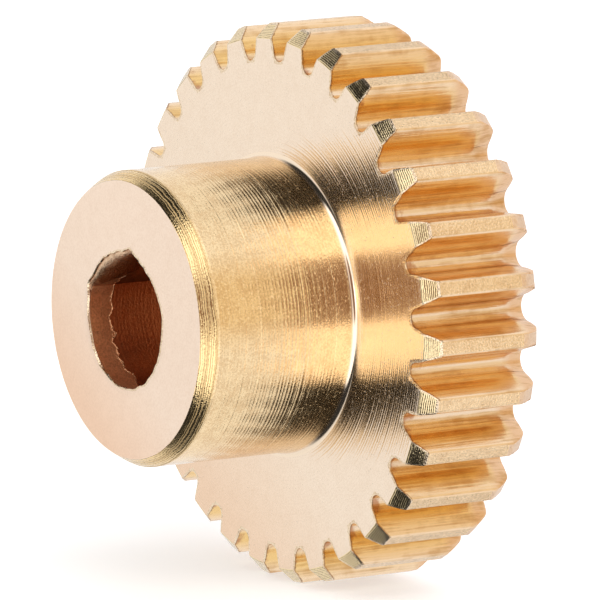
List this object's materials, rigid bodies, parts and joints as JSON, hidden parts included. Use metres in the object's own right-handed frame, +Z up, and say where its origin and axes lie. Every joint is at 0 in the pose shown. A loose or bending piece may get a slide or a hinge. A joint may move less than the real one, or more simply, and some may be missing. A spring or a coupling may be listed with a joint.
{
  "type": "spur gear with hub",
  "caption": "Brass spur gear with straight teeth, a hub on one side and a D-shaped bore through it.",
  "frame": {"origin": "on the gear's axis, half way along the teeth", "axes": "+Y along the gear's axis from the hub to the plain back face, so the hub points to -Y; +Z up as the wheel stands on two teeth; the bore's flat faces down from 120 degrees, measured from +X towards +Z, with a tooth over it"},
  "size_m": [0.0158, 0.0088, 0.0158],
  "materials": {
    "brass": "machined, bare"
  },
  "bodies": {
    "root": {"spur_gear": "brass"}
  },
  "joints": []
}
